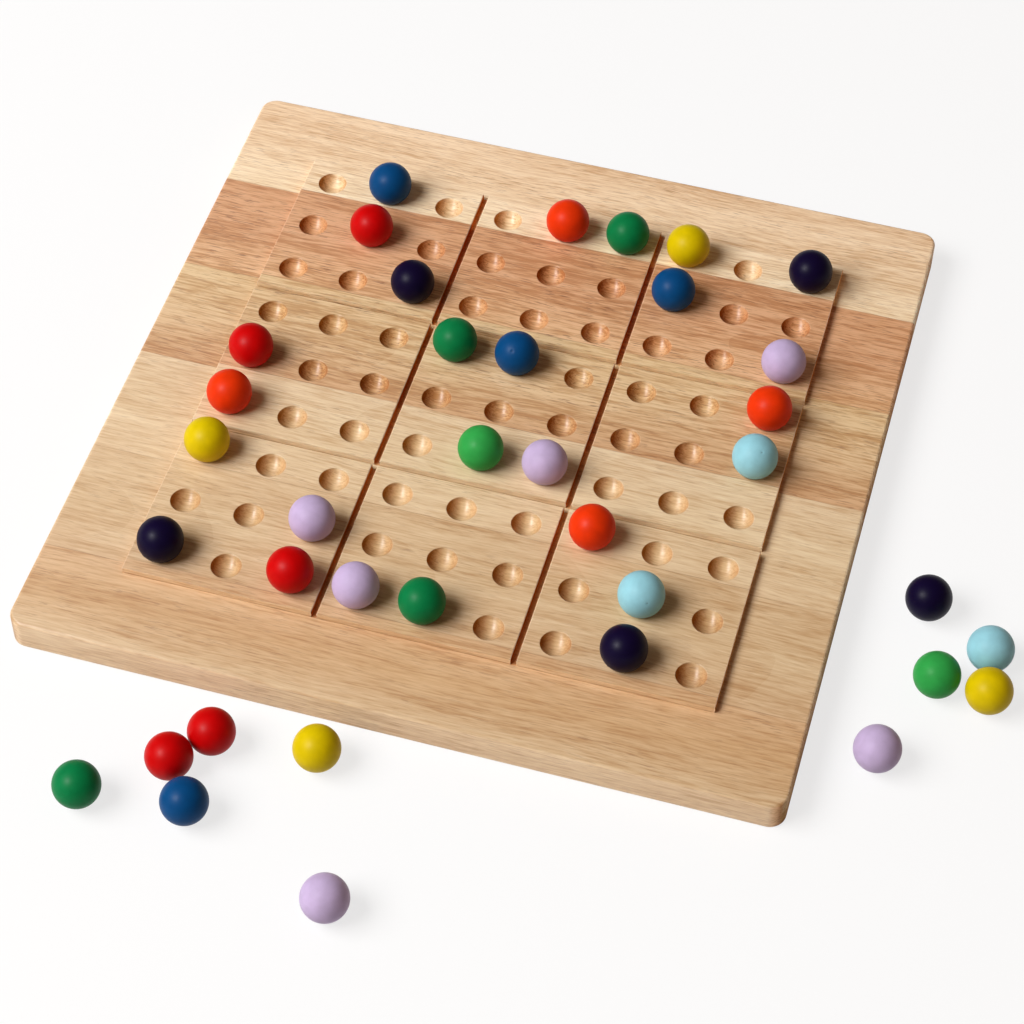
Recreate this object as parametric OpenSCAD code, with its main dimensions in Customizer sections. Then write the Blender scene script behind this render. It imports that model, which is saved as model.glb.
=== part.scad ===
// Sudoku board: a panel of six glued staves whose top is routed into nine raised blocks,
// each with nine dimples, and painted wooden balls, some seated and some lying beside it.
// The origin is at the centre of the underside. X runs to the right, Y to the back, Z up.

/* [Board] */
// Side of the square board
board_side = 300; // [285:1:340]
// Thickness of the board through its raised blocks
board_t = 16.8; // [12:0.4:24]
// Height of the blocks above the border and the grooves
step_h = 3; // [1.5:0.1:5]
// Width of the grooves between the blocks
groove_w = 2.2; // [1.5:0.1:5]
// Radius of the board's four corners, seen from above
corner_r = 6.5; // [3:0.5:15]
// Rounding of the board's upper outer edge
edge_r = 1.2; // [0.5:0.1:2.5]
// Rounding of the blocks' upper edges
block_edge_r = 0.4; // [0.2:0.1:1]
// Distance from a row of dimples to the glue joint in front of it
joint_offset = 7; // [6.5:0.1:10]

/* [Dimples] */
// Spacing of the dimples, both ways
pitch = 26; // [23:0.5:29]
// Diameter of a dimple at its rim
rim_d = 11.8; // [8.5:0.1:12.8]
// Depth of a dimple below the face of its block
dimple_depth = 4; // [2.5:0.1:5]

/* [Balls] */
// Diameter of a ball
ball_d = 18; // [15:0.5:22]
// Gap between a seated ball and the rim that carries it
seat_gap = 0.2; // [0.1:0.05:0.5]

/* [Hidden] */
// The board's plan: cells along a block's side, and blocks along the board's side
block_cells = 3;
blocks = 3;
cells = block_cells * blocks;
// Staves, each as wide as two rows of dimples but for the first and the last
stave_rows = 2;
staves = 6;

border_t = board_t - step_h;
module_w = block_cells * pitch;
block_w = module_w - groove_w;
stave_w = stave_rows * pitch;
corner_at = board_side / 2 - corner_r;
rim_r = rim_d / 2;
ball_r = ball_d / 2;
// The ball that cuts a dimple: its rim and its depth set its radius
cutter_r = (rim_r * rim_r + dimple_depth * dimple_depth) / (2 * dimple_depth);
// A ball sits on the rim, or on the floor of the dimple where it is the smaller ball
carry_r = ball_r + seat_gap;
seat_h = max(sqrt(carry_r * carry_r - rim_r * rim_r), carry_r - dimple_depth);
// How far cutting shapes run past the board
overrun = 5;

$fn = 64;

// Letter, name and colour of each paint
paints = [
    ["r", "red", "#C01018"],
    ["o", "orange", "#E04A1C"],
    ["y", "yellow", "#DCBE10"],
    ["g", "green", "#3FA45C"],
    ["d", "dark_green", "#127A48"],
    ["s", "sky", "#9AD2E0"],
    ["b", "blue", "#1C5488"],
    ["n", "navy", "#1E1D3A"],
    ["l", "lavender", "#C4B0D8"],
];

// The puzzle as it is laid, back row first: a letter is a seated ball, a dot an empty dimple
puzzle = [
    ".b..ody.n",
    ".r....b..",
    "..n.....l",
    "...db...o",
    "r.......s",
    "o...gl...",
    "y.....o..",
    "..l....s.",
    "n.rld..n.",
];

// Balls on the table in front of the board: paint, then the place in ball diameters,
// to the right of the board's middle and forward of its front edge
front_shares = [
    ["d", -5.49, 3.21],
    ["r", -3.95, 2.05],
    ["r", -3.33, 1.24],
    ["b", -3.28, 2.98],
    ["y", -1.14, 1.03],
    ["l", 0.12, 4.32],
];

// Balls on the table at the right: paint, then the place in ball diameters,
// to the right of the board's right edge and forward of its middle
right_shares = [
    ["n", 1.76, 2.09],
    ["s", 3.25, 3.05],
    ["g", 2.29, 4.02],
    ["y", 3.40, 4.12],
    ["l", 1.46, 6.18],
];

stave_tones = ["#DEBB93", "#D09E75", "#D8B68C", "#E6C8A0", "#DCBB92", "#D1A57A"];

// Places of a row, a column and a block's middle, counted from the back and the left
function row_y(row) = ((cells - 1) / 2 - row) * pitch;
function col_x(col) = (col - (cells - 1) / 2) * pitch;
function block_at(i) = (i - (blocks - 1) / 2) * module_w;

// Joint in front of stave k; the board's edges close the first and the last stave
function joint_y(k) =
    k == 0 ? board_side / 2
    : k == staves ? -board_side / 2
    : row_y(0) - joint_offset - (k - 1) * stave_w;

// Every ball as its paint and its centre
balls = concat(
    [for (row = [0 : cells - 1], col = [0 : cells - 1])
        if (puzzle[row][col] != ".")
            [puzzle[row][col], [col_x(col), row_y(row), board_t + seat_h]]],
    [for (lie = front_shares)
        [lie[0], [lie[1] * ball_d, -board_side / 2 - lie[2] * ball_d, ball_r]]],
    [for (lie = right_shares)
        [lie[0], [board_side / 2 + lie[1] * ball_d, -lie[2] * ball_d, ball_r]]]
);

function paint_of(i) = [for (paint = paints) if (paint[0] == balls[i][0]) paint][0];
function count_to(i) = len([for (j = [0 : i]) if (balls[j][0] == balls[i][0]) j]);
function ball_name(i) = str("ball_", paint_of(i)[1], "_", count_to(i));
function stave_name(k) = str("stave_", k);

// End of a bar that stands on its base line, with its two upper edges rounded
module rounded_end(w, h, r) {
    translate([-w / 2, 0]) square([w, h - r]);
    translate([r - w / 2, 0]) square([w - 2 * r, h]);
    for (side = [-1, 1])
        translate([side * (w / 2 - r), h - r]) circle(r);
}

// Bar along Y, centred on the origin
module bar(w, h, r, length) {
    translate([0, length / 2, 0])
        rotate([90, 0, 0])
            linear_extrude(length) rounded_end(w, h, r);
}

// Post with its upper edge rounded, for the board's corners
module corner_post() {
    rotate_extrude()
        intersection() {
            rounded_end(2 * corner_r, border_t, edge_r);
            square([corner_r, border_t]);
        }
}

// The board up to the level of its border and grooves
module slab() {
    for (turn = [0, 90])
        rotate(turn) bar(board_side, border_t, edge_r, 2 * corner_at);
    for (x = [-1, 1], y = [-1, 1])
        translate([x * corner_at, y * corner_at, 0]) corner_post();
}

// One raised block, from the underside up, with its four upper edges rounded
module block() {
    intersection() {
        bar(block_w, board_t, block_edge_r, block_w);
        rotate(90) bar(block_w, board_t, block_edge_r, block_w);
    }
}

// The ball that leaves a dimple
module dimple(row, col) {
    translate([col_x(col), row_y(row), board_t - dimple_depth + cutter_r]) sphere(cutter_r);
}

// Stave k from the back: its strip of the board, with the dimples that reach into it
module stave(k) {
    front = joint_y(k);
    back = joint_y(k - 1);
    color(stave_tones[k - 1])
        difference() {
            intersection() {
                union() {
                    slab();
                    for (i = [0 : blocks - 1], j = [0 : blocks - 1])
                        translate([block_at(i), block_at(j), 0]) block();
                }
                translate([-board_side / 2 - overrun, front, -overrun])
                    cube([board_side + 2 * overrun, back - front, board_t + 2 * overrun]);
            }
            for (row = [0 : cells - 1])
                if (row_y(row) + cutter_r > front && row_y(row) - cutter_r < back)
                    for (col = [0 : cells - 1]) dimple(row, col);
        }
}

// Ball i of the list
module ball(i) {
    color(paint_of(i)[2]) translate(balls[i][1]) sphere(ball_r);
}

for (k = [1 : staves])
    stave(k);
for (i = [0 : len(balls) - 1])
    ball(i);
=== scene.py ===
"""Sudoku board: lacquered staves with dimples, and painted wooden balls."""

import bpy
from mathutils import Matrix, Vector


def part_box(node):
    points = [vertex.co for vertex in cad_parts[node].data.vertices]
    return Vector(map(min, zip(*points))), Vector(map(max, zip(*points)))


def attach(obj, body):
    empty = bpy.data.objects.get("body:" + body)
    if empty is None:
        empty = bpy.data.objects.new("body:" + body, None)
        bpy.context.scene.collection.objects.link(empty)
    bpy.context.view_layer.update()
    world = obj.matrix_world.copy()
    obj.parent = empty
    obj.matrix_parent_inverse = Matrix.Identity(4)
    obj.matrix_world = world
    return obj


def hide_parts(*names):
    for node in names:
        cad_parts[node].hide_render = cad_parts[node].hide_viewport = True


bl_info = {
    "name": "Sudoku board",
    "version": (1, 0, 0),
    "blender": (4, 5, 0),
    "location": "3D View > Sidebar > Sudoku board",
    "description": "Lacquered stave board with dimples and painted wooden balls",
    "category": "Object",
}

import math
import random

import bmesh
import bpy
from bpy.props import FloatProperty, FloatVectorProperty, PointerProperty
from mathutils import Euler, Vector

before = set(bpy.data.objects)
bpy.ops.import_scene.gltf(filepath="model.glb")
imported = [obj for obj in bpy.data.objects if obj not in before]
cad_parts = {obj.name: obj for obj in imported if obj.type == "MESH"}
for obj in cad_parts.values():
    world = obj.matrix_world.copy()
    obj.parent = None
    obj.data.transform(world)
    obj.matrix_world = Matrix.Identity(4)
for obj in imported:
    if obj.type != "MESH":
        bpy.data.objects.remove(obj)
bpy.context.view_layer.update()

# Names of the frame's pieces
STAVES = sorted(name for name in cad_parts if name.startswith("stave_"))
BALLS = sorted(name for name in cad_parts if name.startswith("ball_"))
PAINTS = ("red", "orange", "yellow", "green", "dark_green", "sky", "blue", "navy", "lavender")

# Plan of the board: three blocks of three dimples each way
BLOCKS = 3
BLOCK_CELLS = 3
CELLS = BLOCKS * BLOCK_CELLS
STAVE_ROWS = 2

# Fineness of the meshes
CORNER_STEPS = 8
ROUND_STEPS = 4
DIMPLE_STEPS = 64
BOWL_RINGS = 12
BALL_SEGMENTS = 72
BALL_RINGS = 48

# Streaks of the wood, broad to fine: frequency per millimetre along each axis, detail and weight
STREAKS = (
    ((0.006, 0.09, 0.09), 2.0, 0.9),
    ((0.02, 0.36, 0.36), 2.0, 0.9),
    ((0.09, 1.3, 1.3), 2.0, 1.8),
)
STREAK_ROUGHNESS = 0.6
# Other noises of the wood: frequency per millimetre along each axis
WANDER = (0.009, 0.03, 0.03)
PORES = (0.16, 2.0, 2.0)
PORE_PATCHES = (0.012, 0.12, 0.12)
SEAM_BREAKS = (0.03, 0, 0)
FIBRES = (0.05, 5.0, 5.0)
# Millimetres that the grain wanders across a stave, shade of the growth rings and strength of the pores
WANDER_BY = 7.0
RING_SHADE = 0.16
PORE_STRENGTH = 0.4

# Tints of the streaks, dark to pale, which multiply the tone of a stave
STREAK_TINTS = ((0.0, (0.78, 0.66, 0.54)), (0.5, (1.0, 1.0, 1.0)), (1.0, (1.14, 1.22, 1.32)))
# Tints that paint shade into the dimples and the groove floors, and tints of the end grain: painted shade
# in cuts, painted light on outer steps, and up the sides painted light above and painted shade at the foot
BOWL_SHADE_TINT = (0.90, 0.84, 0.74, 1)
GROOVE_SHADE_TINT = (0.92, 0.55, 0.24, 1)
CUT_END_SHADE_TINT = (0.72, 0.40, 0.18, 1)
STEP_END_LIGHT_TINT = (1.08, 0.76, 0.46, 1)
SIDE_FOOT_SHADE_TINT = (0.85, 0.72, 0.54, 1)
SIDE_TOP_LIGHT_TINT = (1.28, 1.45, 1.70, 1)
# Tints of what faces front: painted light on groove walls, outer steps and the board's front, painted shade
# on their upper edges that dulls a highlight, and painted shade at the foot of the blocks
GROOVE_WALL_LIGHT_TINT = (1.10, 1.14, 1.16, 1)
STEP_WALL_LIGHT_TINT = (1.22, 1.32, 1.40, 1)
FRONT_LIGHT_TINT = (1.22, 1.26, 1.32, 1)
BLOCK_EDGE_SHADE_TINT = (0.80, 0.76, 0.70, 1)
FRONT_EDGE_SHADE_TINT = (0.93, 0.92, 0.90, 1)
FOOT_SHADE_TINT = (0.74, 0.66, 0.58, 1)
# Colours of the painted highlight on the blocks' side edges and of the painted shade in pin marks
ARRIS_HIGHLIGHT = (0.93, 0.82, 0.66, 1)
PIN_SHADE = (0.02, 0.02, 0.03, 1)

# Millimetres from the board's middle that part the grooves and dimples from the outer steps
PAST_GROOVES = (60, 100)
PAST_DIMPLES = (111, 114)
# Millimetres in from the board's edge where its own sides begin
SIDE_DEPTHS = (2, 1)
# Millimetres above the border where the painted shade at the foot of a wall ends and where it is full
FOOT_SHADE_HEIGHTS = (0.8, 0.2)

# Vertex marks of the board: its dimples and groove floors, which take painted shade, and the blocks' side
# edges, which take a painted highlight
MARKS = ("bowl", "groove", "arris")

# Balls that lie with the lathe's pin mark in view, and the way that their marked end points
PIN_WAYS = {
    "ball_sky_1": (0.33, -0.41, 0.85),
    "ball_blue_3": (-0.06, -0.63, 0.78),
    "ball_sky_2": (0.42, -0.76, 0.49),
}

# Sizes read off the frame, in metres
BOARD_LOW, BOARD_HIGH = (Vector(corner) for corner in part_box(STAVES[2]))
BOARD_SIDE = BOARD_HIGH.x - BOARD_LOW.x
BLOCK_TOP = BOARD_HIGH.z
PITCH = (BOARD_HIGH.y - BOARD_LOW.y) / STAVE_ROWS
BALL_LOW, BALL_HIGH = (Vector(corner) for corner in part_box(BALLS[0]))
BALL_D = BALL_HIGH.z - BALL_LOW.z

MM = 0.001
BLOCK_PITCH = BLOCK_CELLS * PITCH
# A joint lies at least this far in from the board's edges
JOINT_CLEAR = PITCH / 4
# Width of the flat strip that keeps a rounding's shade off the face beside it
HOLD = 0.15 * MM
WELD = 0.001 * MM
# Growth of the reach of each line that runs down the board's side and under it
REACH_STEP = 0.001
# Share of the painted groove shade at the foot that the lamp reaches
LIT_FOOT = 0.6
# Height on a ball of radius 1 past which only its end lies
BALL_END = 0.99999
# Edges that bend more than this stay sharp
STAVE_CREASE = math.radians(40)
BALL_CREASE = math.radians(80)

# The floor: its side in metres, its tone to the camera, and how far it glows to read as white
FLOOR_SIDE = 8.0
FLOOR_TONE = 0.9
FLOOR_GLOW = 0.75
SENSOR_MM = 36.0


def tone(red, green, blue):
    """A colour as it looks on screen, 0 to 255, as the linear light a shader takes."""
    return tuple(((c / 255 + 0.055) / 1.055) ** 2.4 for c in (red, green, blue))


def length_prop(name, description, default):
    return FloatProperty(name=name, description=description, default=default, unit="LENGTH", precision=5)


def colour_prop(name, description, default):
    return FloatVectorProperty(
        name=name, description=description, default=default, subtype="COLOR", size=3, min=0, max=1
    )


def number_prop(name, description, default):
    return FloatProperty(name=name, description=description, default=default)


def place_prop(name, description, default):
    return FloatVectorProperty(
        name=name, description=description, default=default, subtype="TRANSLATION", size=3
    )


def figure_prop(name, default):
    return FloatProperty(name=name, description="Strength of the grain", default=default, subtype="FACTOR")


class BoardSizes(bpy.types.PropertyGroup):
    """Sizes of the board that its outer box doesn't give"""

    step_h: length_prop("Step", "Height of the blocks above the border", 3 * MM)
    groove_w: length_prop("Groove", "Width of the grooves between the blocks", 2.2 * MM)
    corner_r: length_prop("Corner", "Radius of the board's corners from above", 6.5 * MM)
    edge_r: length_prop("Upper edge", "Rounding of the board's upper outer edge", 1.2 * MM)
    base_edge_r: length_prop("Lower edge", "Rounding of the board's lower outer edge", 0.5 * MM)
    block_edge_r: length_prop("Block edge", "Rounding of the blocks' upper edges", 0.4 * MM)
    rim_d: length_prop("Dimple rim", "Diameter of a dimple at its rim", 11.8 * MM)
    dimple_depth: length_prop("Dimple depth", "Depth of a dimple below its block's face", 4 * MM)
    lip_r: length_prop("Dimple lip", "Rounding of the edge of a dimple", 0.3 * MM)


class BallSizes(bpy.types.PropertyGroup):
    """Small marks that turning leaves on a ball"""

    pin_depth: length_prop("Pin mark", "Depth of the lathe's pin mark in a ball's end", 0.35 * MM)


class StaveTones(bpy.types.PropertyGroup):
    """Tone of each stave at its back edge, its middle and its front edge"""

    back_1: colour_prop("Stave 1 back", "Tone at the back edge", tone(242, 209, 171))
    middle_1: colour_prop("Stave 1 middle", "Tone in the middle", tone(242, 211, 173))
    front_1: colour_prop("Stave 1 front", "Tone at the front edge", tone(246, 220, 182))
    back_2: colour_prop("Stave 2 back", "Tone at the back edge", tone(211, 157, 114))
    middle_2: colour_prop("Stave 2 middle", "Tone in the middle", tone(213, 161, 119))
    front_2: colour_prop("Stave 2 front", "Tone at the front edge", tone(220, 175, 130))
    back_3: colour_prop("Stave 3 back", "Tone at the back edge", tone(219, 185, 138))
    middle_3: colour_prop("Stave 3 middle", "Tone in the middle", tone(217, 182, 138))
    front_3: colour_prop("Stave 3 front", "Tone at the front edge", tone(204, 159, 116))
    back_4: colour_prop("Stave 4 back", "Tone at the back edge", tone(226, 198, 160))
    middle_4: colour_prop("Stave 4 middle", "Tone in the middle", tone(224, 196, 156))
    front_4: colour_prop("Stave 4 front", "Tone at the front edge", tone(220, 190, 150))
    back_5: colour_prop("Stave 5 back", "Tone at the back edge", tone(213, 181, 140))
    middle_5: colour_prop("Stave 5 middle", "Tone in the middle", tone(213, 182, 141))
    front_5: colour_prop("Stave 5 front", "Tone at the front edge", tone(211, 177, 137))
    back_6: colour_prop("Stave 6 back", "Tone at the back edge", tone(211, 172, 130))
    middle_6: colour_prop("Stave 6 middle", "Tone in the middle", tone(204, 164, 119))
    front_6: colour_prop("Stave 6 front", "Tone at the front edge", tone(210, 178, 138))
    pore: colour_prop("Pores", "Tone of the dark pores and fibres", tone(128, 78, 44))
    figure_1: figure_prop("Stave 1 figure", 1.2)
    figure_2: figure_prop("Stave 2 figure", 2.0)
    figure_3: figure_prop("Stave 3 figure", 1.7)
    figure_4: figure_prop("Stave 4 figure", 0.9)
    figure_5: figure_prop("Stave 5 figure", 0.95)
    figure_6: figure_prop("Stave 6 figure", 1.05)


class BallPaints(bpy.types.PropertyGroup):
    """Paint of each set of balls"""

    red: colour_prop("Red", "Red paint", tone(192, 1, 4))
    orange: colour_prop("Orange", "Orange paint", tone(224, 52, 8))
    yellow: colour_prop("Yellow", "Yellow paint", tone(210, 184, 0))
    green: colour_prop("Green", "Green paint", tone(48, 156, 72))
    dark_green: colour_prop("Dark green", "Dark green paint", tone(8, 116, 64))
    sky: colour_prop("Sky", "Pale blue paint", tone(146, 202, 216))
    blue: colour_prop("Blue", "Blue paint", tone(6, 68, 120))
    navy: colour_prop("Navy", "Dark blue paint", tone(14, 5, 40))
    lavender: colour_prop("Lavender", "Lavender paint", tone(190, 171, 208))


class StageLight(bpy.types.PropertyGroup):
    """Camera and light of the photograph's view"""

    camera_at: place_prop("Camera", "Place of the camera", (0.19625, -0.69675, 0.84982))
    camera_turn: FloatVectorProperty(
        name="Camera turn", description="Turn of the camera", subtype="EULER", size=3,
        default=(math.radians(38.91), math.radians(-0.53), math.radians(15.93)),
    )
    lens: number_prop("Lens", "Focal length in millimetres on a 36 mm frame", 97.29)
    lamp_at: place_prop("Lamp", "Middle of the soft lamp", (-1.68, -0.90, 2.04))
    lamp_width: length_prop("Lamp width", "Level side of the soft lamp", 2.2)
    lamp_height: length_prop("Lamp height", "Rising side of the soft lamp", 1.5)
    lamp_power: number_prop("Lamp power", "Power of the soft lamp in watts", 104.0)
    glint_at: place_prop("Glint", "Middle of the small lamp that gloss shows", (-1.36, -1.20, 2.10))
    glint_width: length_prop("Glint width", "Level side of the small lamp that gloss shows", 0.6)
    glint_height: length_prop("Glint height", "Rising side of the small lamp that gloss shows", 0.5)
    glint_power: number_prop("Glint power", "Power of the small lamp in watts", 66.0)
    fill_at: place_prop("Fill", "Middle of the weak front lamp", (-1.3, -1.9, 0.7))
    fill_power: number_prop("Fill power", "Power of the weak front lamp in watts", 5.0)
    side_at: place_prop("Side", "Middle of the weak lamp at the right", (2.0, 0.9, 0.7))
    side_power: number_prop("Side power", "Power of the weak lamp at the right in watts", 5.0)
    floor_bounce: number_prop("Floor bounce", "Share of light the floor throws back", 0.6)
    bounce: colour_prop("Bounce", "Colour of the light from all round", (1.0, 0.68, 0.46))
    sky_light: number_prop("Sky light", "Level of the light from all round", 0.10)
    sky_gloss: number_prop("Sky gloss", "Share of white that gloss shows of the sky", 0.06)


def lay(tree, kind, inputs=None, **settings):
    """Adds a node to a tree, sets its settings, and links or sets each input that is named."""
    node = tree.nodes.new(kind)
    for name, value in settings.items():
        setattr(node, name, value)
    for key, value in (inputs or {}).items():
        if isinstance(value, bpy.types.NodeSocket):
            tree.links.new(value, node.inputs[key])
        else:
            node.inputs[key].default_value = value
    return node


def sum_of(tree, kind, operation, *values):
    """Output of a maths node of the given kind for those values."""
    return lay(tree, kind, dict(enumerate(values)), operation=operation).outputs[0]


def reckon(tree, operation, *values):
    return sum_of(tree, "ShaderNodeMath", operation, *values)


def steer(tree, operation, *values):
    return sum_of(tree, "ShaderNodeVectorMath", operation, *values)


def axes_of(tree, vector):
    """The three parts of a vector."""
    return lay(tree, "ShaderNodeSeparateXYZ", {0: vector}).outputs


def ramp(tree, level, stops):
    """Colour ramp over a level, from a list of places and colours."""
    node = lay(tree, "ShaderNodeValToRGB", {0: level})
    for extra in stops[2:]:
        node.color_ramp.elements.new(extra[0])
    for element, (place, colour) in zip(node.color_ramp.elements, stops):
        element.position = place
        element.color = (*colour, 1) if len(colour) == 3 else colour
    return node.outputs["Color"]


def blend_colour(tree, share, first, second, kind="MIX"):
    """Mix of two colours by a share."""
    node = lay(tree, "ShaderNodeMix", {0: share, 6: first, 7: second}, data_type="RGBA", blend_type=kind)
    return node.outputs[2]


def tinted(tree, share, colour, tint):
    """A colour multiplied by a tint, by a share."""
    return blend_colour(tree, share, colour, tint, "MULTIPLY")


def span(tree, level, low, high, to_low=0.0, to_high=1.0):
    """A level taken from one range to another, held at its ends."""
    values = {"Value": level, 1: low, 2: high, 3: to_low, 4: to_high}
    return lay(tree, "ShaderNodeMapRange", values, clamp=True).outputs[0]


def speckle(tree, place, stretch, detail=2.0, roughness=0.5):
    """Noise over a place that is stretched along each axis first."""
    drawn = steer(tree, "MULTIPLY", place, stretch)
    values = {"Vector": drawn, "Scale": 1.0, "Detail": detail, "Roughness": roughness}
    return lay(tree, "ShaderNodeTexNoise", values).outputs["Fac"]


def new_material(name):
    """An empty node material with a Principled surface."""
    material = bpy.data.materials.new(name)
    material.use_nodes = True
    tree = material.node_tree
    surface = next(node for node in tree.nodes if node.type == "BSDF_PRINCIPLED")
    return material, tree, surface


def growth_rings(tree, flowing, middle, draw):
    """Growth rings about a pith far below the middle of a stave."""
    pith = (draw.uniform(-20, 20), draw.uniform(-15, 15) - middle, draw.uniform(40, 90))
    turn = (0, math.radians(draw.uniform(-4, 4)), math.radians(draw.uniform(-2, 2)))
    values = {"Vector": flowing, "Location": pith, "Rotation": turn}
    about = lay(tree, "ShaderNodeMapping", values).outputs[0]
    return lay(
        tree, "ShaderNodeTexWave",
        {"Vector": about, "Scale": 0.055, "Distortion": 3.0, "Detail": 2.0, "Detail Scale": 0.4},
        wave_type="RINGS", rings_direction="X", wave_profile="SAW",
    ).outputs["Fac"]


def streak_tint(tree, grain, rings, figure):
    """Tint of the rings and of the streaks along the grain, broad to fine."""
    shade = reckon(tree, "MULTIPLY", reckon(tree, "SUBTRACT", 0.5, rings), RING_SHADE)
    for stretch, detail, weight in STREAKS:
        noise = speckle(tree, grain, stretch, detail, STREAK_ROUGHNESS)
        shade = reckon(tree, "MULTIPLY_ADD", reckon(tree, "SUBTRACT", noise, 0.5), weight, shade)
    shade = span(tree, reckon(tree, "MULTIPLY", shade, figure), -0.5, 0.5)
    return ramp(tree, shade, STREAK_TINTS)


def fibre_ends_and_shade(tree, facing):
    """Share of a face that shows end grain, full on faces turned away from the lamp and less on those
    turned to it, so that it also paints their shade.
    """
    right = span(tree, facing[0], 0.1, 0.8)
    left = span(tree, facing[0], -0.4, -0.95, 0.0, 0.55)
    return reckon(tree, "MAXIMUM", right, left)


def wood_light_and_shade(tree, colour, facing, ends_and_shade, in_mm, border):
    """A stave's colour with painted light and shade: shade in its dimples, grooves and cut end grain, light
    on front faces and outer steps, and a highlight on its blocks' side edges.
    """
    marks = {name: lay(tree, "ShaderNodeAttribute", attribute_name=name).outputs["Fac"] for name in MARKS}
    rim = axes_of(tree, steer(tree, "ABSOLUTE", in_mm))
    side_from, side_to = (BOARD_SIDE / 2 / MM - depth for depth in SIDE_DEPTHS)
    on_side, on_front = (span(tree, rim[axis], side_from, side_to) for axis in (0, 1))
    # Painted shade darkens the dimples
    lit_and_shaded = tinted(tree, marks["bowl"], colour, BOWL_SHADE_TINT)

    # End grain is darker: painted shade in the grooves and dimples, painted light on the outer steps, and
    # up the board's sides painted light above and painted shade at the foot
    up_side = span(tree, rim[2], 0.0, border / MM)
    side_light_shade_tint = blend_colour(tree, up_side, SIDE_FOOT_SHADE_TINT, SIDE_TOP_LIGHT_TINT)
    rightward = span(tree, facing[0], 0.0, 0.1)
    on_step = reckon(tree, "MULTIPLY", span(tree, rim[0], *PAST_DIMPLES), rightward)
    end_light_shade_tint = blend_colour(tree, on_step, CUT_END_SHADE_TINT, STEP_END_LIGHT_TINT)
    end_light_shade_tint = blend_colour(tree, on_side, end_light_shade_tint, side_light_shade_tint)
    lit_and_shaded = tinted(tree, ends_and_shade, lit_and_shaded, end_light_shade_tint)

    # Painted light makes faces that look to the front paler than the wood on top
    wall_light_tint = blend_colour(tree, span(tree, rim[1], *PAST_GROOVES), GROOVE_WALL_LIGHT_TINT, STEP_WALL_LIGHT_TINT)
    wall_light_tint = blend_colour(tree, on_front, wall_light_tint, FRONT_LIGHT_TINT)
    lit_walls = reckon(tree, "SUBTRACT", span(tree, facing[1], -0.6, -0.95), marks["bowl"])
    lit_walls = reckon(tree, "MAXIMUM", lit_walls, 0.0)
    lit_and_shaded = tinted(tree, lit_walls, lit_and_shaded, wall_light_tint)

    # Painted shade dulls their upper edges against a highlight there, and painted shade lies at the foot of
    # the blocks
    edge = reckon(
        tree, "MULTIPLY", span(tree, facing[1], -0.1, -0.4), span(tree, facing[1], -0.95, -0.8)
    )
    edge = reckon(tree, "MULTIPLY", edge, reckon(tree, "SUBTRACT", 1.0, marks["bowl"]))
    lit_and_shaded = tinted(tree, edge, lit_and_shaded, blend_colour(tree, on_front, BLOCK_EDGE_SHADE_TINT, FRONT_EDGE_SHADE_TINT))
    shade_to, shade_full = (border / MM + height for height in FOOT_SHADE_HEIGHTS)
    foot_shade = reckon(tree, "MULTIPLY", lit_walls, span(tree, rim[2], shade_to, shade_full))
    foot_shade = reckon(tree, "MULTIPLY", foot_shade, reckon(tree, "SUBTRACT", 1.0, on_front))
    lit_and_shaded = tinted(tree, foot_shade, lit_and_shaded, FOOT_SHADE_TINT)

    # Painted shade darkens the groove floors, and a painted highlight pales the blocks' side edges, most so
    # on the right
    lit_and_shaded = tinted(tree, marks["groove"], lit_and_shaded, GROOVE_SHADE_TINT)
    highlight_share = span(tree, facing[0], -0.3, 0.3, 0.15, 0.5)
    return blend_colour(tree, reckon(tree, "MULTIPLY", marks["arris"], highlight_share), lit_and_shaded, ARRIS_HIGHLIGHT)


def glue_seam(tree, in_mm, shifted, low, high):
    """Share of the glue line along each joint of a stave, stronger in places."""
    across = axes_of(tree, in_mm)[1]
    seam = 0.0
    for edge in (low.y, high.y):
        if abs(edge) < BOARD_SIDE / 2 - JOINT_CLEAR:
            near = reckon(tree, "ABSOLUTE", reckon(tree, "SUBTRACT", across, edge / MM))
            seam = reckon(tree, "MAXIMUM", seam, span(tree, near, 0.1, 0.3, 1.0, 0.0))
    strength = span(tree, speckle(tree, shifted, SEAM_BREAKS), 0.4, 0.6, 0.0, 0.5)
    return reckon(tree, "MULTIPLY", seam, strength)


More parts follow.
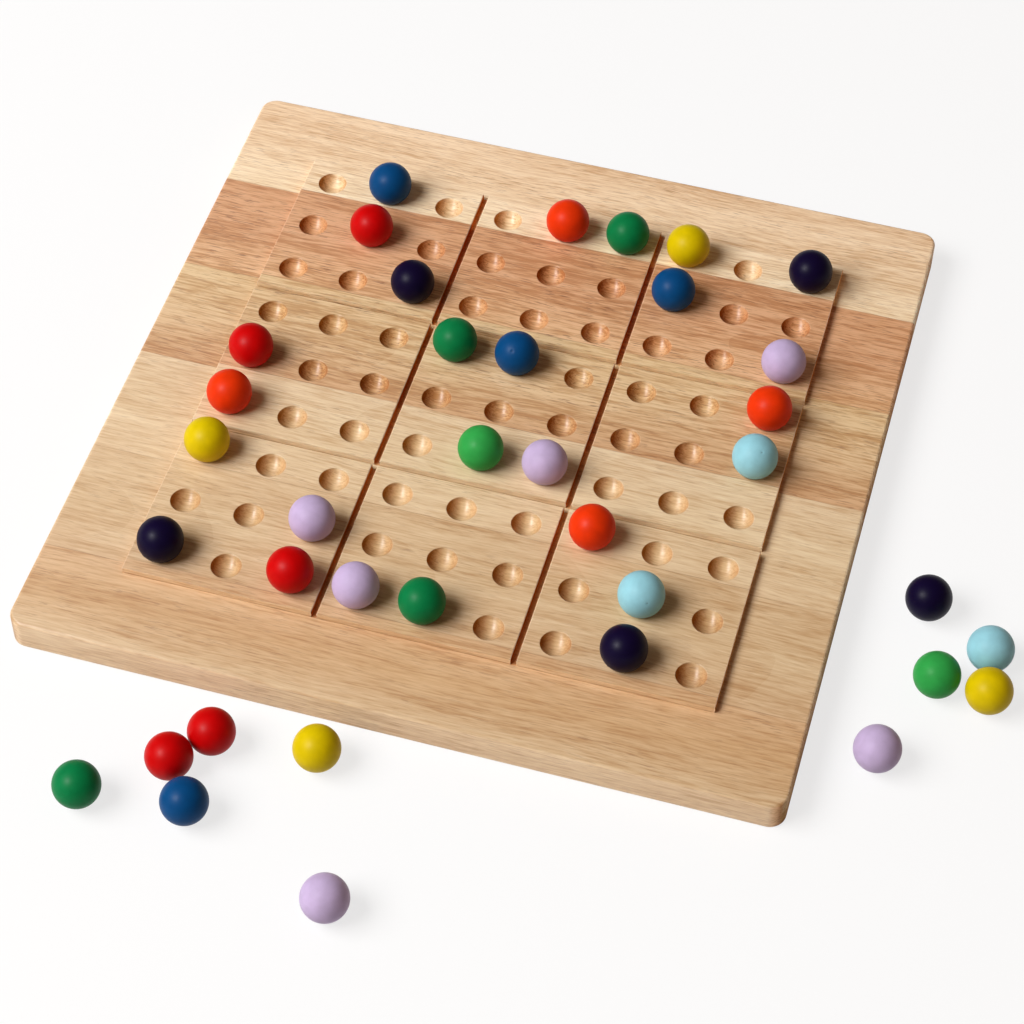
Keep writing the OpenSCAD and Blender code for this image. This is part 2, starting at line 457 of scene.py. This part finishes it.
def stave_wood(number, tones, border):
    """Lacquered wood of one stave, with its grain along X."""
    material, tree, surface = new_material(f"stave_{number}_wood")
    low, high = (Vector(corner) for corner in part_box(f"stave_{number}"))
    figure = getattr(tones, f"figure_{number}")
    pore_tone = (*tones.pore, 1)
    draw = random.Random(number)
    coords = lay(tree, "ShaderNodeTexCoord").outputs
    in_mm = steer(tree, "MULTIPLY", coords["Object"], (1 / MM, 1 / MM, 1 / MM))
    shifted = steer(tree, "ADD", in_mm, tuple(draw.uniform(200, 900) for axis in range(3)))

    # The grain wanders a little across the stave
    wander = reckon(tree, "SUBTRACT", speckle(tree, shifted, WANDER), 0.5)
    wander = reckon(tree, "MULTIPLY", wander, WANDER_BY)
    drift = lay(tree, "ShaderNodeCombineXYZ", {1: wander}).outputs[0]
    grain = steer(tree, "ADD", shifted, drift)
    flowing = steer(tree, "ADD", in_mm, drift)

    # Tone from the back edge to the front edge, with rings and streaks
    level = span(tree, axes_of(tree, flowing)[1], high.y / MM, low.y / MM)
    stops = [getattr(tones, f"{place}_{number}") for place in ("back", "middle", "front")]
    base = ramp(tree, level, [(i / 2, stop) for i, stop in enumerate(stops)])
    rings = growth_rings(tree, flowing, 0.5 * (low.y + high.y) / MM, draw)
    streaked = tinted(tree, 1.0, base, streak_tint(tree, grain, rings, figure))

    # Dark pores, short dashes along the grain
    dashes = speckle(tree, grain, PORES, 2.0, 0.55)
    patches = span(tree, speckle(tree, grain, PORE_PATCHES), 0.35, 0.65, 0.25, 1.0)
    pores = reckon(tree, "MULTIPLY", span(tree, dashes, 0.56, 0.68), patches)
    dark = reckon(tree, "MULTIPLY", pores, PORE_STRENGTH * figure)
    pored = blend_colour(tree, dark, streaked, pore_tone)

    facing = axes_of(tree, coords["Normal"])
    ends_and_shade = fibre_ends_and_shade(tree, facing)
    lit_and_shaded = wood_light_and_shade(tree, pored, facing, ends_and_shade, in_mm, border)
    seamed = blend_colour(tree, glue_seam(tree, in_mm, shifted, low, high), lit_and_shaded, pore_tone)
    tree.links.new(seamed, surface.inputs["Base Color"])

    # Lacquer over fine fibres, with the pores open
    fibres = speckle(tree, grain, FIBRES, 2.0)
    open_pores = reckon(tree, "MULTIPLY", pores, 0.2)
    sheen = reckon(tree, "ADD", span(tree, fibres, 0.3, 0.7, 0.40, 0.48), open_pores)
    tree.links.new(sheen, surface.inputs["Roughness"])
    height = reckon(tree, "SUBTRACT", reckon(tree, "MULTIPLY", fibres, 0.25), pores)
    bump = lay(tree, "ShaderNodeBump", {"Height": height, "Strength": 0.25, "Distance": 0.1 * MM})
    tree.links.new(bump.outputs[0], surface.inputs["Normal"])
    # Fibres along X spread a highlight across the grain
    athwart = lay(tree, "ShaderNodeCombineXYZ", {1: 1.0}).outputs[0]
    tree.links.new(athwart, surface.inputs["Tangent"])
    surface.inputs["Anisotropic"].default_value = 0.8
    # Fibre ends soak up the lacquer and stay dull
    tree.links.new(span(tree, ends_and_shade, 0.0, 1.0, 0.8, 0.0), surface.inputs["Specular IOR Level"])
    return material


def ball_paint(name, colour):
    """Satin paint on turned wood, with the faint rings that turning leaves."""
    material, tree, surface = new_material(f"paint_{name}")
    place = lay(tree, "ShaderNodeTexCoord").outputs["Object"]
    in_mm = steer(tree, "MULTIPLY", place, (1 / MM, 1 / MM, 1 / MM))
    mottle = speckle(tree, in_mm, (0.25, 0.25, 0.25), 3.0)
    fine = speckle(tree, in_mm, (1.6, 1.6, 1.6), 3.0)
    along = lay(tree, "ShaderNodeAttribute", attribute_name="along").outputs["Fac"]
    pin = lay(tree, "ShaderNodeAttribute", attribute_name="pin").outputs["Fac"]
    turned = lay(tree, "ShaderNodeCombineXYZ", {0: reckon(tree, "MULTIPLY", along, 28.0)}).outputs[0]
    rings = lay(tree, "ShaderNodeTexNoise", {"Vector": turned, "Scale": 1.0, "Detail": 2.0}).outputs["Fac"]
    shade = span(tree, mottle, 0.3, 0.7, 0.93, 1.04)
    grey = lay(tree, "ShaderNodeCombineXYZ", {0: shade, 1: shade, 2: shade}).outputs[0]
    coat = tinted(tree, 1.0, (*colour, 1), grey)
    # Painted shade darkens the hollow of the pin mark
    pin_shade = reckon(tree, "MULTIPLY", reckon(tree, "POWER", pin, 2.0), 0.7)
    marked = blend_colour(tree, pin_shade, coat, PIN_SHADE)
    tree.links.new(marked, surface.inputs["Base Color"])
    tree.links.new(span(tree, fine, 0.3, 0.7, 0.36, 0.46), surface.inputs["Roughness"])
    surface.inputs["Specular IOR Level"].default_value = 0.10
    height = reckon(tree, "ADD", reckon(tree, "MULTIPLY", rings, 0.6), reckon(tree, "MULTIPLY", fine, 0.4))
    bump = lay(tree, "ShaderNodeBump", {"Height": height, "Strength": 0.12, "Distance": 0.1 * MM})
    tree.links.new(bump.outputs[0], surface.inputs["Normal"])
    return material


def outer_lines(sizes):
    """Lines out from a corner's centre, over the edge, down and under: reach, place and height."""
    border = BLOCK_TOP - sizes.step_h
    flat = sizes.corner_r - sizes.edge_r
    lines = [(flat * k / CORNER_STEPS, flat * k / CORNER_STEPS, border) for k in range(CORNER_STEPS)]
    lines += [(flat - HOLD, flat - HOLD, border), (flat, flat, border)]
    for k in range(1, ROUND_STEPS + 1):
        turn = math.pi / 2 * k / ROUND_STEPS
        place = flat + sizes.edge_r * math.sin(turn)
        lines.append((place, place, border - sizes.edge_r * (1 - math.cos(turn))))
    for k in range(ROUND_STEPS + 1):
        turn = math.pi / 2 * k / ROUND_STEPS
        place = sizes.corner_r - sizes.base_edge_r * (1 - math.cos(turn))
        reach = sizes.corner_r * (1 + REACH_STEP * (k + 1))
        lines.append((reach, place, sizes.base_edge_r * (1 - math.sin(turn))))
    return lines


def block_lines(sizes, middle, half_opening):
    """Lines over one block along an axis: place and height."""
    border = BLOCK_TOP - sizes.step_h
    half = (BLOCK_PITCH - sizes.groove_w) / 2
    edge = [(half, border), (half, BLOCK_TOP - sizes.block_edge_r)]
    for k in range(1, ROUND_STEPS + 1):
        turn = math.pi / 2 * k / ROUND_STEPS
        inset = sizes.block_edge_r * (1 - math.cos(turn))
        edge.append((half - inset, BLOCK_TOP - sizes.block_edge_r * (1 - math.sin(turn))))
    edge.append((half - sizes.block_edge_r - HOLD, BLOCK_TOP))
    lines = [(-place, height) for place, height in edge]
    for cell in range(BLOCK_CELLS):
        centre = (cell - (BLOCK_CELLS - 1) / 2) * PITCH
        lines += [(centre - half_opening, BLOCK_TOP), (centre + half_opening, BLOCK_TOP)]
    lines += reversed(edge)
    return [(middle + place, height) for place, height in lines]


def board_lines(sizes, half_opening):
    """All lines across the board along one axis: reach past a corner's centre, place and height."""
    corner_at = BOARD_SIDE / 2 - sizes.corner_r
    outer = outer_lines(sizes)
    lines = [(-reach, -corner_at - place, height) for reach, place, height in reversed(outer)]
    for block in range(BLOCKS):
        middle = (block - (BLOCKS - 1) / 2) * BLOCK_PITCH
        lines += [(0, place, height) for place, height in block_lines(sizes, middle, half_opening)]
    lines += [(reach, corner_at + place, height) for reach, place, height in outer]
    return lines


def clip_lines(lines, front, back):
    """The lines between two joints, with a line on each joint that isn't the board's own edge."""
    kept = [line for line in lines if front + WELD < line[1] < back - WELD or line[0] != 0]
    kept = [line for line in kept if front - WELD < line[1] < back + WELD]
    first = [(0, front, BLOCK_TOP)] if front > lines[0][1] + JOINT_CLEAR else []
    last = [(0, back, BLOCK_TOP)] if back < lines[-1][1] - JOINT_CLEAR else []
    return first + kept + last


def grid_point(x_line, y_line, corner_at):
    """Point where two lines cross, drawn in to the round corner where both run past its centre."""
    x_reach, x_place, x_height = x_line
    y_reach, y_place, y_height = y_line
    if x_reach == 0 or y_reach == 0:
        return Vector((x_place, y_place, min(x_height, y_height)))
    outer = x_line if abs(x_reach) >= abs(y_reach) else y_line
    radius = abs(outer[1]) - corner_at
    way = Vector((x_reach, y_reach)).normalized() * radius
    return Vector((
        math.copysign(corner_at, x_place) + way.x,
        math.copysign(corner_at, y_place) + way.y,
        outer[2],
    ))


def dimple_rows():
    """Y of each row of dimples, from the back."""
    return [((CELLS - 1) / 2 - row) * PITCH for row in range(CELLS)]


def stave_shell(name, sizes, half_opening):
    """Closed shell of a stave, with a square opening left for each dimple."""
    low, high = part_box(name)
    corner_at = BOARD_SIDE / 2 - sizes.corner_r
    lines = board_lines(sizes, half_opening)
    y_lines = clip_lines(lines, low[1], high[1])
    shell = bmesh.new()
    groove, arris = (shell.verts.layers.float.new(mark) for mark in ("groove", "arris"))
    border = BLOCK_TOP - sizes.step_h
    wall_top = BLOCK_TOP - sizes.block_edge_r
    inner = (BLOCKS - 1) / 2 * BLOCK_PITCH
    grid = []
    for x in lines:
        column = []
        for y in y_lines:
            vert = shell.verts.new(grid_point(x, y, corner_at))
            # The groove mark paints shade on the groove floors, less on the foot that the lamp reaches
            in_groove = x[2] == border and y[2] > wall_top + WELD and abs(x[1]) < inner
            left_foot = x[1] / BLOCK_PITCH % 1.0 < 0.5
            vert[groove] = (1.0 if left_foot else LIT_FOOT) if in_groove else 0.0
            # The arris mark takes a painted highlight along the blocks' side edges
            vert[arris] = float(wall_top + WELD < x[2] < BLOCK_TOP - WELD and y[2] > border + WELD)
            column.append(vert)
        grid.append(column)
    rows = dimple_rows()
    columns = [-row for row in rows]
    for i in range(len(lines) - 1):
        for j in range(len(y_lines) - 1):
            corners = [grid[i][j], grid[i + 1][j], grid[i + 1][j + 1], grid[i][j + 1]]
            middle = sum((v.co for v in corners), Vector()) / 4
            over_column = any(abs(middle.x - x) < WELD for x in columns)
            over_row = any(abs(middle.y - y) < WELD for y in rows)
            if not (over_column and over_row):
                shell.faces.new(corners)
    front = [column[0] for column in grid]
    back = [column[-1] for column in grid]
    left, right = grid[0], grid[-1]
    if y_lines[0][0] == 0:
        shell.faces.new(reversed(front))
        under = [*left, *back[1:-1], *reversed(right)]
    else:
        under = [*reversed(left), *front[1:-1], *right]
        under = list(reversed(under))
    if y_lines[-1][0] == 0:
        shell.faces.new(back)
        if y_lines[0][0] == 0:
            under = [*left, *reversed(right)]
    shell.faces.new(under)
    bmesh.ops.remove_doubles(shell, verts=shell.verts, dist=WELD)
    bmesh.ops.dissolve_degenerate(shell, edges=shell.edges, dist=WELD)
    mesh = bpy.data.meshes.new(name)
    shell.to_mesh(mesh)
    shell.free()
    return mesh


def dimple_profile(sizes):
    """Rings of a dimple from its floor to the flat around it: radius, and height about its block's face."""
    rim = sizes.rim_d / 2
    depth = sizes.dimple_depth
    cutter = (rim * rim + depth * depth) / (2 * depth)
    above = cutter - depth
    lip = sizes.lip_r
    lip_at = math.sqrt((cutter + lip) ** 2 - (above + lip) ** 2)
    end = math.asin(lip_at / (cutter + lip))
    rings = []
    for k in range(BOWL_RINGS + 1):
        turn = end * k / BOWL_RINGS
        rings.append((cutter * math.sin(turn), above - cutter * math.cos(turn)))
    for k in range(1, ROUND_STEPS + 1):
        turn = end * (1 - k / ROUND_STEPS)
        rings.append((lip_at - lip * math.sin(turn), lip * (math.cos(turn) - 1)))
    rings.append((lip_at + HOLD, 0))
    return rings


def dimple_patch(sizes):
    """One dimple in a square of flat face, and half the square's side."""
    rings = dimple_profile(sizes)
    half = rings[-1][0] + HOLD
    patch = bmesh.new()
    bowl = patch.verts.layers.float.new("bowl")
    loops = []
    for radius, height in rings[1:]:
        loop = []
        for step in range(DIMPLE_STEPS):
            turn = 2 * math.pi * (step + 0.5) / DIMPLE_STEPS
            vert = patch.verts.new((radius * math.cos(turn), radius * math.sin(turn), height))
            vert[bowl] = 1.0 if height < -sizes.lip_r else 0.0
            loop.append(vert)
        loops.append(loop)
    floor = patch.verts.new((0, 0, rings[0][1]))
    floor[bowl] = 1.0
    corners = [patch.verts.new((half * x, half * y, 0)) for x, y in ((1, 1), (-1, 1), (-1, -1), (1, -1))]
    quarter = DIMPLE_STEPS // 4
    for step in range(DIMPLE_STEPS):
        after = (step + 1) % DIMPLE_STEPS
        patch.faces.new((floor, loops[0][step], loops[0][after]))
        for inner, outer in zip(loops, loops[1:]):
            patch.faces.new((inner[step], outer[step], outer[after], inner[after]))
        here, there = corners[step // quarter], corners[after // quarter]
        edge = (loops[-1][step], here, loops[-1][after])
        if here is not there:
            edge = (loops[-1][step], here, there, loops[-1][after])
        patch.faces.new(edge)
    mesh = bpy.data.meshes.new("dimple")
    patch.to_mesh(mesh)
    patch.free()
    return mesh, half


def new_rule(name, inputs):
    """A geometry node tree with named inputs; returns the tree and its input sockets by name."""
    tree = bpy.data.node_groups.new(name, "GeometryNodeTree")
    tree.interface.new_socket("Geometry", in_out="OUTPUT", socket_type="NodeSocketGeometry")
    for label, kind in inputs.items():
        tree.interface.new_socket(label, in_out="INPUT", socket_type=f"NodeSocket{kind}")
    return tree, lay(tree, "NodeGroupInput").outputs


def close_rule(tree, shape, finish, sharp):
    """Ends a tree: real geometry, welded, smooth but for edges past an angle, with its material."""
    real = lay(tree, "GeometryNodeRealizeInstances", {0: shape}).outputs[0]
    welded = lay(tree, "GeometryNodeMergeByDistance", {"Geometry": real, "Distance": WELD}).outputs[0]
    smooth = lay(tree, "GeometryNodeSetShadeSmooth", {"Geometry": welded, "Shade Smooth": True}).outputs[0]
    bend = lay(tree, "GeometryNodeInputMeshEdgeAngle").outputs[0]
    keen = reckon(tree, "GREATER_THAN", bend, sharp)
    values = {"Geometry": smooth, "Selection": keen, "Shade Smooth": False}
    creased = lay(tree, "GeometryNodeSetShadeSmooth", values, domain="EDGE").outputs[0]
    dressed = lay(tree, "GeometryNodeSetMaterial", {"Geometry": creased, "Material": finish}).outputs[0]
    lay(tree, "NodeGroupOutput", {0: dressed})


def dimple_rule():
    """Tree that sets rows of dimples into the openings of a stave."""
    tree, given = new_rule("dimple_rows", {
        "Stave": "Geometry", "Dimple": "Object", "Columns": "Int", "Rows": "Int",
        "Spacing": "Float", "First": "Vector", "Finish": "Material",
    })
    count = reckon(tree, "MULTIPLY", given["Columns"], given["Rows"])
    points = lay(tree, "GeometryNodePoints", {"Count": count}).outputs[0]
    index = lay(tree, "GeometryNodeInputIndex").outputs[0]
    column = reckon(tree, "MODULO", index, given["Columns"])
    row = reckon(tree, "FLOOR", reckon(tree, "DIVIDE", index, given["Columns"]))
    along = reckon(tree, "MULTIPLY", column, given["Spacing"])
    forward = reckon(tree, "MULTIPLY", row, reckon(tree, "MULTIPLY", given["Spacing"], -1.0))
    offset = lay(tree, "ShaderNodeCombineXYZ", {0: along, 1: forward}).outputs[0]
    place = steer(tree, "ADD", given["First"], offset)
    placed = lay(tree, "GeometryNodeSetPosition", {"Geometry": points, "Position": place}).outputs[0]
    dimple = lay(tree, "GeometryNodeObjectInfo", {"Object": given["Dimple"]}).outputs["Geometry"]
    rows = lay(tree, "GeometryNodeInstanceOnPoints", {"Points": placed, "Instance": dimple}).outputs[0]
    whole = lay(tree, "GeometryNodeJoinGeometry", {0: rows})
    tree.links.new(given["Stave"], whole.inputs[0])
    close_rule(tree, whole.outputs[0], given["Finish"], STAVE_CREASE)
    return tree


def ball_rule():
    """Tree that turns one ball, with the lathe's pin mark at one end of its axis."""
    tree, given = new_rule("turned_ball", {
        "Geometry": "Geometry", "Diameter": "Float", "Centre": "Vector", "Axis": "Vector",
        "Pin Depth": "Float", "Segments": "Int", "Rings": "Int", "Finish": "Material",
    })
    radius = reckon(tree, "MULTIPLY", given["Diameter"], 0.5)
    sphere = lay(
        tree, "GeometryNodeMeshUVSphere",
        {"Segments": given["Segments"], "Rings": given["Rings"], "Radius": radius},
    ).outputs[0]
    place = lay(tree, "GeometryNodeInputPosition").outputs[0]
    along = reckon(tree, "DIVIDE", axes_of(tree, place)[2], radius)
    end = reckon(tree, "GREATER_THAN", along, BALL_END)
    for label, value in (("along", along), ("pin", end)):
        sphere = lay(
            tree, "GeometryNodeStoreNamedAttribute", {"Geometry": sphere, "Name": label, "Value": value},
            data_type="FLOAT", domain="POINT",
        ).outputs[0]
    down = reckon(tree, "MULTIPLY", given["Pin Depth"], -1.0)
    sink = lay(tree, "ShaderNodeCombineXYZ", {2: down}).outputs[0]
    values = {"Geometry": sphere, "Selection": end, "Offset": sink}
    marked = lay(tree, "GeometryNodeSetPosition", values).outputs[0]
    turn = lay(tree, "FunctionNodeAlignRotationToVector", {"Vector": given["Axis"]}, axis="Z").outputs[0]
    values = {"Geometry": marked, "Translation": given["Centre"], "Rotation": turn}
    moved = lay(tree, "GeometryNodeTransform", values).outputs[0]
    close_rule(tree, moved, given["Finish"], BALL_CREASE)
    return tree


def follow_rule(name, mesh, tree, values):
    """Runs a tree on a mesh and returns an object that holds the result as a plain mesh."""
    piece = bpy.data.objects.new(name, mesh)
    bpy.context.scene.collection.objects.link(piece)
    modifier = piece.modifiers.new("rule", "NODES")
    modifier.node_group = tree
    for socket in tree.interface.items_tree:
        if socket.in_out == "INPUT" and socket.name in values:
            modifier[socket.identifier] = values[socket.name]
    depsgraph = bpy.context.evaluated_depsgraph_get()
    result = bpy.data.meshes.new_from_object(
        piece.evaluated_get(depsgraph), preserve_all_data_layers=True, depsgraph=depsgraph
    )
    piece.modifiers.remove(modifier)
    piece.data = result
    return piece


class SUDOKU_OT_staves(bpy.types.Operator):
    """Make the six staves of the board, with their blocks, grooves and dimples"""

    bl_idname = "sudoku.staves"
    bl_label = "Staves"

    def execute(self, context):
        sizes = context.scene.sudoku_board
        patch_mesh, half_opening = dimple_patch(sizes)
        patch = bpy.data.objects.new("dimple", patch_mesh)
        context.scene.collection.objects.link(patch)
        tree = dimple_rule()
        for number, name in enumerate(STAVES, 1):
            low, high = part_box(name)
            rows = [y for y in dimple_rows() if low[1] < y < high[1]]
            first = (-dimple_rows()[0], rows[0] if rows else 0.0, BLOCK_TOP)
            piece = follow_rule(f"lacquered_{name}", stave_shell(name, sizes, half_opening), tree, {
                "Dimple": patch, "Columns": CELLS, "Rows": len(rows), "Spacing": PITCH, "First": first,
                "Finish": stave_wood(number, context.scene.sudoku_tones, BLOCK_TOP - sizes.step_h),
            })
            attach(piece, "board")
            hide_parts(name)
        bpy.data.objects.remove(patch)
        return {"FINISHED"}


class SUDOKU_OT_balls(bpy.types.Operator):
    """Make the painted balls, each on its own body"""

    bl_idname = "sudoku.balls"
    bl_label = "Balls"

    def execute(self, context):
        paints = {name: ball_paint(name, getattr(context.scene.sudoku_paints, name)) for name in PAINTS}
        tree = ball_rule()
        draw = random.Random(9)
        for name in BALLS:
            low, high = (Vector(corner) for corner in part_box(name))
            paint = name.removeprefix("ball_").rsplit("_", 1)[0]
            turned_away = (draw.uniform(-1, 1), draw.uniform(0.3, 1), draw.uniform(-1, 0))
            axis = PIN_WAYS.get(name, turned_away)
            piece = follow_rule(f"painted_{name}", bpy.data.meshes.new(name), tree, {
                "Diameter": BALL_D, "Centre": (low + high) / 2, "Axis": Vector(axis),
                "Pin Depth": context.scene.sudoku_balls.pin_depth,
                "Segments": BALL_SEGMENTS, "Rings": BALL_RINGS, "Finish": paints[paint],
            })
            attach(piece, name)
            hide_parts(name)
        return {"FINISHED"}


def pale_floor(bounce):
    """White table top that reads as the white ground of the picture and still takes a shadow."""
    material, tree, surface = new_material("pale_floor")
    surface.inputs["Roughness"].default_value = 0.9
    glow = lay(tree, "ShaderNodeEmission", {"Color": (1, 1, 1, 1), "Strength": 1.0})
    path = lay(tree, "ShaderNodeLightPath").outputs
    seen = reckon(tree, "MAXIMUM", path["Is Camera Ray"], path["Is Glossy Ray"])
    seen = reckon(tree, "MAXIMUM", seen, path["Is Transmission Ray"])
    shown = (FLOOR_TONE, FLOOR_TONE, FLOOR_TONE, 1)
    pale = blend_colour(tree, seen, (bounce, bounce, bounce, 1), shown)
    tree.links.new(pale, surface.inputs["Base Color"])
    share = reckon(tree, "MULTIPLY", seen, FLOOR_GLOW)
    mix = lay(tree, "ShaderNodeMixShader", {0: share, 1: surface.outputs[0], 2: glow.outputs[0]})
    output = next(node for node in tree.nodes if node.type == "OUTPUT_MATERIAL")
    tree.links.new(mix.outputs[0], output.inputs["Surface"])
    return material


def hang_lamp(name, place, sides, power):
    """A flat lamp that faces the board."""
    lamp = bpy.data.lights.new(name, "AREA")
    lamp.shape = "RECTANGLE"
    lamp.size, lamp.size_y = sides
    lamp.energy = power
    holder = bpy.data.objects.new(name, lamp)
    holder.location = place
    holder.rotation_euler = (-Vector(place)).to_track_quat("-Z", "Y").to_euler()
    bpy.context.scene.collection.objects.link(holder)
    return holder


class SUDOKU_OT_stage(bpy.types.Operator):
    """Make the floor, the light and the camera"""

    bl_idname = "sudoku.stage"
    bl_label = "Stage"

    def execute(self, context):
        light = context.scene.sudoku_light
        bpy.ops.mesh.primitive_plane_add(size=FLOOR_SIDE)
        floor = context.object
        floor.name = "floor"
        floor.data.materials.append(pale_floor(light.floor_bounce))

        world = bpy.data.worlds.new("soft_sky")
        context.scene.world = world
        world.use_nodes = True
        tree = world.node_tree
        sky = next(node for node in tree.nodes if node.type == "BACKGROUND")
        path = lay(tree, "ShaderNodeLightPath").outputs
        seen = reckon(tree, "MAXIMUM", path["Is Camera Ray"], path["Is Transmission Ray"])
        glossy = reckon(tree, "MULTIPLY", path["Is Glossy Ray"], light.sky_gloss)
        seen = reckon(tree, "MAXIMUM", seen, glossy)
        strength = lay(tree, "ShaderNodeMapRange", {"Value": seen, 3: light.sky_light, 4: 1.0}).outputs[0]
        shown = blend_colour(tree, seen, (*light.bounce, 1), (1, 1, 1, 1))
        tree.links.new(shown, sky.inputs["Color"])
        tree.links.new(strength, sky.inputs["Strength"])

        broad = (light.lamp_width, light.lamp_height)
        small = (light.glint_width, light.glint_height)
        soft = hang_lamp("soft_lamp", light.lamp_at, broad, light.lamp_power)
        soft.visible_glossy = False
        glint = hang_lamp("glint_lamp", light.glint_at, small, light.glint_power)
        glint.visible_diffuse = False
        for name, place, power in (
            ("front_fill", light.fill_at, light.fill_power),
            ("side_fill", light.side_at, light.side_power),
        ):
            fill = hang_lamp(name, place, broad, power)
            fill.visible_glossy = False
            fill.data.color = light.bounce

        camera = bpy.data.cameras.new("camera")
        camera.lens = light.lens
        camera.sensor_width = SENSOR_MM
        viewer = bpy.data.objects.new("camera", camera)
        viewer.location = light.camera_at
        viewer.rotation_euler = Euler(light.camera_turn)
        context.scene.collection.objects.link(viewer)
        context.scene.camera = viewer
        context.scene.view_settings.view_transform = "Standard"
        return {"FINISHED"}


class SUDOKU_PT_panel(bpy.types.Panel):
    """Sizes, colours and steps of the sudoku board"""

    bl_idname = "SUDOKU_PT_panel"
    bl_label = "Sudoku board"
    bl_space_type = "VIEW_3D"
    bl_region_type = "UI"
    bl_category = "Sudoku board"

    def draw(self, context):
        for operator in ("sudoku.stage", "sudoku.staves", "sudoku.balls"):
            self.layout.operator(operator)
        for group in GROUPS:
            holder = getattr(context.scene, group)
            box = self.layout.box()
            for name in holder.bl_rna.properties.keys():
                if name not in ("rna_type", "name"):
                    box.prop(holder, name)


GROUPS = {
    "sudoku_board": BoardSizes,
    "sudoku_balls": BallSizes,
    "sudoku_tones": StaveTones,
    "sudoku_paints": BallPaints,
    "sudoku_light": StageLight,
}
CLASSES = (*GROUPS.values(), SUDOKU_OT_stage, SUDOKU_OT_staves, SUDOKU_OT_balls, SUDOKU_PT_panel)


def register():
    for cls in CLASSES:
        bpy.utils.register_class(cls)
    for name, cls in GROUPS.items():
        setattr(bpy.types.Scene, name, PointerProperty(type=cls))


def unregister():
    for name in GROUPS:
        delattr(bpy.types.Scene, name)
    for cls in reversed(CLASSES):
        bpy.utils.unregister_class(cls)


def main():
    register()
    bpy.ops.sudoku.stage()
    bpy.ops.sudoku.staves()
    bpy.ops.sudoku.balls()


if __name__ == "__main__":
    main()
